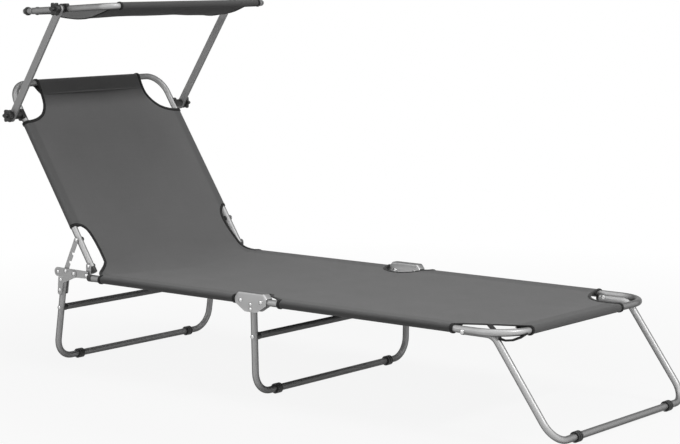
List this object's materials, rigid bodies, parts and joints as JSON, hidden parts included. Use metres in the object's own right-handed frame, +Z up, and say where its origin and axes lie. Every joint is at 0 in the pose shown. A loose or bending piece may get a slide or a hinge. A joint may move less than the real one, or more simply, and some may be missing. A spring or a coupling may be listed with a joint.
{
  "type": "sun lounger with canopy",
  "caption": "Folding tubular sun lounger with a stretched cloth bed, ratcheting backrest, fold-away legs and a small tilting sun canopy on side arms.",
  "frame": {"origin": "on the floor under the middle of the bounding box", "axes": "+X from the head end to the foot end, +Y to the sitter's left, +Z up"},
  "size_m": [1.6576, 0.6516, 0.8997],
  "materials": {
    "steel": "silver-grey powder coat, satin",
    "fittings": "zinc-plated pressed steel",
    "plastic": "black moulded plastic, fine grain",
    "cloth": "dark grey woven cloth with black bound edges"
  },
  "bodies": {
    "seat": {"seat_rail_left": "steel", "seat_rail_right": "steel", "rail_end_plug_left": "plastic", "rail_end_plug_right": "plastic", "hinge_plate_left": "fittings", "hinge_plate_right": "fittings", "backrest_pin_left": "fittings", "backrest_pin_right": "fittings", "ratchet_pin_left": "fittings", "ratchet_pin_right": "fittings", "seat_cover": "cloth"},
    "middle_leg_frame": {"middle_bracket_left": "fittings", "middle_bracket_right": "fittings", "middle_leg": "steel", "middle_crossbar": "steel", "middle_crossbar_cap_left": "plastic", "middle_crossbar_cap_right": "plastic", "middle_foot_left": "plastic", "middle_foot_right": "plastic", "middle_cover": "cloth"},
    "foot_section": {"foot_frame": "steel", "foot_cover": "cloth", "foot_leg_pin_left": "fittings", "foot_leg_pin_right": "fittings"},
    "foot_leg_frame": {"foot_leg": "steel", "foot_leg_plug_left": "plastic", "foot_leg_plug_right": "plastic", "foot_leg_foot_left": "plastic", "foot_leg_foot_right": "plastic"},
    "rear_leg_frame": {"rear_leg": "steel", "rear_crossbar": "steel", "rear_crossbar_cap_left": "plastic", "rear_crossbar_cap_right": "plastic", "rear_foot_left": "plastic", "rear_foot_right": "plastic", "rear_leg_bracket_left": "fittings", "rear_leg_bracket_right": "fittings", "rear_leg_pin_left": "fittings", "rear_leg_pin_right": "fittings"},
    "backrest": {"backrest_frame": "steel", "backrest_plug_left": "plastic", "backrest_plug_right": "plastic", "lower_clamp_left": "plastic", "lower_clamp_right": "plastic", "prop_pin_left": "fittings", "prop_pin_right": "fittings", "backrest_cover": "cloth"},
    "prop_left_bar": {"prop_left": "fittings"},
    "prop_right_bar": {"prop_right": "fittings"},
    "canopy_arms": {"canopy_arm_left": "fittings", "canopy_arm_right": "fittings"},
    "canopy": {"canopy_frame": "steel", "canopy_spigot": "steel", "canopy_cover": "cloth", "upper_clamp_left": "plastic", "upper_clamp_right": "plastic"},
    "lower_knob_left_body": {"lower_knob_left": "plastic"},
    "lower_knob_right_body": {"lower_knob_right": "plastic"},
    "upper_knob_left_body": {"upper_knob_left": "plastic"},
    "upper_knob_right_body": {"upper_knob_right": "plastic"}
  },
  "joints": [
    {"name": "backrest_recline", "type": "hinge", "parent": "seat", "child": "backrest", "pos_m": [-0.53425, 0, 0.255], "axis": [0, -1, 0], "range_deg": [0, 56.7]},
    {"name": "prop_left_swing", "type": "hinge", "parent": "backrest", "child": "prop_left_bar", "pos_m": [-0.57488, 0.2815, 0.31685], "axis": [0, -1, 0], "range_deg": [-110, 0]},
    {"name": "prop_right_swing", "type": "hinge", "parent": "backrest", "child": "prop_right_bar", "pos_m": [-0.57488, -0.2815, 0.31685], "axis": [0, -1, 0], "range_deg": [-110, 0]},
    {"name": "canopy_arm_swing", "type": "hinge", "parent": "backrest", "child": "canopy_arms", "pos_m": [-0.77143, 0, 0.61607], "axis": [0, -1, 0], "range_deg": [-40, 65]},
    {"name": "canopy_tilt", "type": "hinge", "parent": "canopy_arms", "child": "canopy", "pos_m": [-0.59434, 0, 0.8826], "axis": [0, -1, 0], "range_deg": [-60, 60]},
    {"name": "middle_fold", "type": "hinge", "parent": "seat", "child": "middle_leg_frame", "pos_m": [-0.01675, 0, 0.228], "axis": [0, 1, 0], "range_deg": [0, 90]},
    {"name": "foot_fold", "type": "hinge", "parent": "middle_leg_frame", "child": "foot_section", "pos_m": [0.04425, 0, 0.228], "axis": [0, -1, 0], "range_deg": [-90, 0]},
    {"name": "foot_leg_fold", "type": "hinge", "parent": "foot_section", "child": "foot_leg_frame", "pos_m": [0.60175, 0, 0.2245], "axis": [0, 1, 0], "range_deg": [0, 127]},
    {"name": "rear_leg_fold", "type": "hinge", "parent": "seat", "child": "rear_leg_frame", "pos_m": [-0.57925, 0, 0.233], "axis": [0, -1, 0], "range_deg": [0, 98]},
    {"name": "lower_knob_left_turn", "type": "hinge", "parent": "backrest", "child": "lower_knob_left_body", "pos_m": [-0.77143, 0.309, 0.61607], "axis": [0, 1, 0], "continuous": true},
    {"name": "lower_knob_right_turn", "type": "hinge", "parent": "backrest", "child": "lower_knob_right_body", "pos_m": [-0.77143, -0.309, 0.61607], "axis": [0, 1, 0], "continuous": true},
    {"name": "upper_knob_left_turn", "type": "hinge", "parent": "canopy", "child": "upper_knob_left_body", "pos_m": [-0.59434, 0.309, 0.8826], "axis": [0, 1, 0], "continuous": true},
    {"name": "upper_knob_right_turn", "type": "hinge", "parent": "canopy", "child": "upper_knob_right_body", "pos_m": [-0.59434, -0.309, 0.8826], "axis": [0, 1, 0], "continuous": true}
  ],
  "couplings": [
    {"joint": "prop_left_swing", "follows": "backrest_recline", "ratio": -1.92},
    {"joint": "prop_right_swing", "follows": "backrest_recline", "ratio": -1.92}
  ]
}
